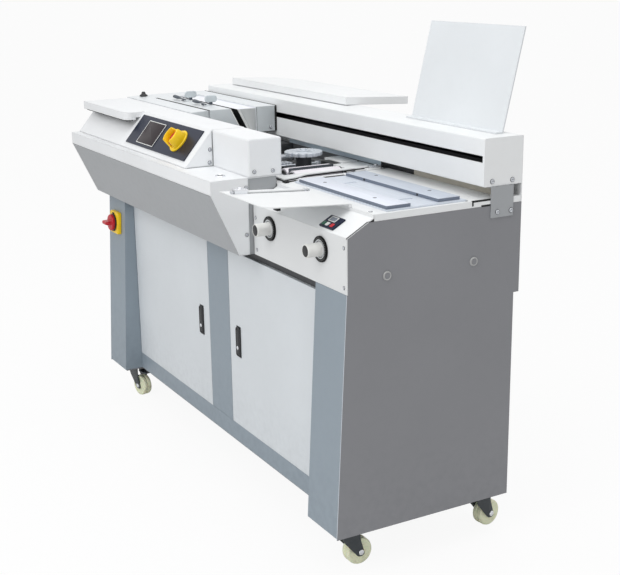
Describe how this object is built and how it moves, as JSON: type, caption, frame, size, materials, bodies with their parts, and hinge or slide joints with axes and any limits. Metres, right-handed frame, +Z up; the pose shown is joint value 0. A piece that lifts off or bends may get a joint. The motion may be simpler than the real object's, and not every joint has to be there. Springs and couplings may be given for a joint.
{
  "type": "perfect binding machine",
  "caption": "Floor-standing book binder: a clamp carriage runs along a rear beam over a milling disc, glue rollers and nipping plates; two doors, casters.",
  "frame": {"origin": "centre of the bounding box on the floor, under the machine", "axes": "+X along the machine from the milling side to the nipping side, +Y from the doors to the back, +Z up"},
  "size_m": [1.3954, 0.7222, 1.1377],
  "materials": {
    "white_enamel": "satin powder coat",
    "pale_grey_enamel": "satin powder coat",
    "blue_grey_enamel": "satin powder coat",
    "end_panel_grey": "satin powder coat",
    "skirt_grey": "satin powder coat",
    "dark_steel": "matt black",
    "bright_steel": "ground",
    "clamp_silver": "fine sanded",
    "navy_panel": "printed film, dark",
    "safety_yellow": "gloss",
    "safety_red": "gloss",
    "cream_nylon": "moulded nylon",
    "black_plastic": "fine texture",
    "black_steel": "semi-gloss black"
  },
  "bodies": {
    "machine": {"console_tray": "white_enamel", "desk_cover": "white_enamel", "hood": "white_enamel", "deck": "white_enamel", "right_fascia": "white_enamel", "rear_beam": "white_enamel", "rear_tray": "white_enamel", "paper_stand": "white_enamel", "electrics_box": "pale_grey_enamel", "left_front_leg": "blue_grey_enamel", "right_front_leg": "blue_grey_enamel", "centre_post": "blue_grey_enamel", "bottom_rail": "blue_grey_enamel", "left_end_panel": "end_panel_grey", "right_end_panel": "end_panel_grey", "cabinet_floor": "end_panel_grey", "back_panel": "end_panel_grey", "console_skirt": "skirt_grey", "beam_bracket": "skirt_grey", "top_rail": "dark_steel", "glue_tank": "dark_steel", "milling_motor": "dark_steel", "drive_motor": "dark_steel", "guide_rail": "bright_steel", "control_panel": "navy_panel", "estop_guard": "safety_yellow", "switch_base": "safety_yellow", "counter_panel": "black_plastic"},
    "left_door": {"left_door": "pale_grey_enamel"},
    "right_door": {"right_door": "pale_grey_enamel"},
    "left_door_handle": {"left_door_handle": "black_plastic"},
    "right_door_handle": {"right_door_handle": "black_plastic"},
    "lid": {"lid": "white_enamel"},
    "estop_button": {"estop_button": "safety_red"},
    "switch_knob": {"switch_knob": "safety_red"},
    "left_adjusting_knob": {"left_adjusting_knob": "white_enamel"},
    "right_adjusting_knob": {"right_adjusting_knob": "white_enamel"},
    "cover_table": {"cover_table": "white_enamel"},
    "cover_guide": {"cover_guide": "bright_steel"},
    "carriage": {"carriage": "clamp_silver"},
    "clamp_jaw": {"clamp_jaw": "clamp_silver"},
    "left_clamp_lever": {"left_clamp_lever": "black_plastic"},
    "right_clamp_lever": {"right_clamp_lever": "black_plastic"},
    "carriage_knob": {"carriage_knob": "black_plastic"},
    "cutter_disc": {"cutter_disc": "bright_steel"},
    "right_glue_roller": {"right_glue_roller": "bright_steel"},
    "left_glue_roller": {"left_glue_roller": "bright_steel"},
    "nipping_table": {"nipping_table": "bright_steel", "rear_nipping_plate": "bright_steel"},
    "front_nipping_plate": {"front_nipping_plate": "bright_steel"},
    "front_right_fork": {"front_right_fork": "black_steel"},
    "front_right_wheel": {"front_right_wheel": "cream_nylon"},
    "front_right_brake_pedal": {"front_right_brake_pedal": "black_steel"},
    "front_left_fork": {"front_left_fork": "black_steel"},
    "front_left_wheel": {"front_left_wheel": "cream_nylon"},
    "front_left_brake_pedal": {"front_left_brake_pedal": "black_steel"},
    "rear_right_fork": {"rear_right_fork": "black_steel"},
    "rear_right_wheel": {"rear_right_wheel": "cream_nylon"},
    "rear_left_fork": {"rear_left_fork": "black_steel"},
    "rear_left_wheel": {"rear_left_wheel": "cream_nylon"}
  },
  "joints": [
    {"name": "left_door_hinge", "type": "hinge", "parent": "machine", "child": "left_door", "pos_m": [-0.54275, -0.19768, 0.37615], "axis": [0, 0, -1], "range_deg": [0, 90]},
    {"name": "right_door_hinge", "type": "hinge", "parent": "machine", "child": "right_door", "pos_m": [0.56325, -0.19768, 0.37615], "axis": [0, 0, 1], "range_deg": [0, 90]},
    {"name": "left_handle_pivot", "type": "hinge", "parent": "left_door", "child": "left_door_handle", "pos_m": [-0.08525, -0.20018, 0.406], "axis": [-1, 0, 0], "range_deg": [0, 35]},
    {"name": "right_handle_pivot", "type": "hinge", "parent": "right_door", "child": "right_door_handle", "pos_m": [0.13475, -0.20018, 0.406], "axis": [-1, 0, 0], "range_deg": [0, 35]},
    {"name": "lid_hinge", "type": "hinge", "parent": "machine", "child": "lid", "pos_m": [-0.50475, -0.14968, 0.8915], "axis": [-1, 0, 0], "range_deg": [0, 90]},
    {"name": "estop_press", "type": "slide", "parent": "machine", "child": "estop_button", "axis": [0, 0.7668, -0.6419], "range_m": [0, 0.005], "stiffness_N_per_m": 1200},
    {"name": "main_switch_turn", "type": "hinge", "parent": "machine", "child": "switch_knob", "pos_m": [-0.60875, -0.24294, 0.54365], "axis": [0, -0.9986, 0.0526], "range_deg": [0, 90]},
    {"name": "left_adjusting_turn", "type": "hinge", "parent": "machine", "child": "left_adjusting_knob", "pos_m": [0.36725, -0.22598, 0.707], "axis": [0, -1, 0], "range_deg": [0, 300]},
    {"name": "right_adjusting_turn", "type": "hinge", "parent": "machine", "child": "right_adjusting_knob", "pos_m": [0.59325, -0.22598, 0.707], "axis": [0, -1, 0], "range_deg": [0, 300]},
    {"name": "cover_table_hinge", "type": "hinge", "parent": "machine", "child": "cover_table", "pos_m": [0.40225, -0.16568, 0.7933], "axis": [-1, 0, 0], "range_deg": [0, 80]},
    {"name": "cover_guide_slide", "type": "slide", "parent": "cover_table", "child": "cover_guide", "axis": [0, 0.9978, -0.0663], "range_m": [0, 0.13]},
    {"name": "carriage_slide", "type": "slide", "parent": "machine", "child": "carriage", "axis": [1, 0, 0], "range_m": [0, 0.838]},
    {"name": "clamp_jaw_slide", "type": "slide", "parent": "carriage", "child": "clamp_jaw", "axis": [0, 1, 0], "range_m": [-0.018, 0.034]},
    {"name": "left_clamp_lever_turn", "type": "hinge", "parent": "carriage", "child": "left_clamp_lever", "pos_m": [-0.47175, -0.05368, 0.8983], "axis": [0, 0, 1], "range_deg": [0, 60]},
    {"name": "right_clamp_lever_turn", "type": "hinge", "parent": "carriage", "child": "right_clamp_lever", "pos_m": [-0.33475, -0.05368, 0.8983], "axis": [0, 0, 1], "range_deg": [0, 60]},
    {"name": "carriage_knob_turn", "type": "hinge", "parent": "carriage", "child": "carriage_knob", "pos_m": [-0.66475, -0.10668, 0.8983], "axis": [0, 0, 1], "range_deg": [0, 270]},
    {"name": "cutter_spin", "type": "hinge", "parent": "machine", "child": "cutter_disc", "pos_m": [0.06725, 0.02632, 0.818], "axis": [0, 0, 1], "continuous": true},
    {"name": "right_roller_spin", "type": "hinge", "parent": "machine", "child": "right_glue_roller", "pos_m": [0.20525, -0.01718, 0.778], "axis": [0, 1, 0], "continuous": true},
    {"name": "left_roller_spin", "type": "hinge", "parent": "machine", "child": "left_glue_roller", "pos_m": [0.16225, -0.01718, 0.778], "axis": [0, 1, 0], "continuous": true},
    {"name": "nipping_table_lift", "type": "slide", "parent": "machine", "child": "nipping_table", "axis": [0, 0, 1], "range_m": [0, 0.012]},
    {"name": "front_plate_slide", "type": "slide", "parent": "nipping_table", "child": "front_nipping_plate", "axis": [0, 1, 0], "range_m": [0, 0.065]},
    {"name": "front_right_swivel", "type": "hinge", "parent": "machine", "child": "front_right_fork", "pos_m": [0.63525, -0.19068, 0.1], "axis": [0, 0, 1], "continuous": true},
    {"name": "front_right_wheel_spin", "type": "hinge", "parent": "front_right_fork", "child": "front_right_wheel", "pos_m": [0.63525, -0.16868, 0.031], "axis": [1, 0, 0], "continuous": true},
    {"name": "front_right_brake_press", "type": "hinge", "parent": "front_right_fork", "child": "front_right_brake_pedal", "pos_m": [0.63525, -0.16788, 0.079], "axis": [-1, 0, 0], "range_deg": [0, 12]},
    {"name": "front_left_swivel", "type": "hinge", "parent": "machine", "child": "front_left_fork", "pos_m": [-0.61475, -0.19068, 0.1], "axis": [0, 0, 1], "continuous": true},
    {"name": "front_left_wheel_spin", "type": "hinge", "parent": "front_left_fork", "child": "front_left_wheel", "pos_m": [-0.59323, -0.1861, 0.031], "axis": [0.2079, -0.9781, 0], "continuous": true},
    {"name": "front_left_brake_press", "type": "hinge", "parent": "front_left_fork", "child": "front_left_brake_pedal", "pos_m": [-0.59245, -0.18594, 0.079], "axis": [-0.2079, 0.9781, 0], "range_deg": [0, 12]},
    {"name": "rear_right_swivel", "type": "hinge", "parent": "machine", "child": "rear_right_fork", "pos_m": [0.63525, 0.16432, 0.1], "axis": [0, 0, 1], "continuous": true},
    {"name": "rear_right_wheel_spin", "type": "hinge", "parent": "rear_right_fork", "child": "rear_right_wheel", "pos_m": [0.63219, 0.18611, 0.031], "axis": [0.9903, 0.1392, 0], "continuous": true},
    {"name": "rear_left_swivel", "type": "hinge", "parent": "machine", "child": "rear_left_fork", "pos_m": [-0.61475, 0.16432, 0.1], "axis": [0, 0, 1], "continuous": true},
    {"name": "rear_left_wheel_spin", "type": "hinge", "parent": "rear_left_fork", "child": "rear_left_wheel", "pos_m": [-0.62007, 0.18567, 0.031], "axis": [0.9703, 0.2419, 0], "continuous": true}
  ],
  "couplings": [
    {"joint": "left_roller_spin", "follows": "right_roller_spin", "ratio": 1}
  ]
}
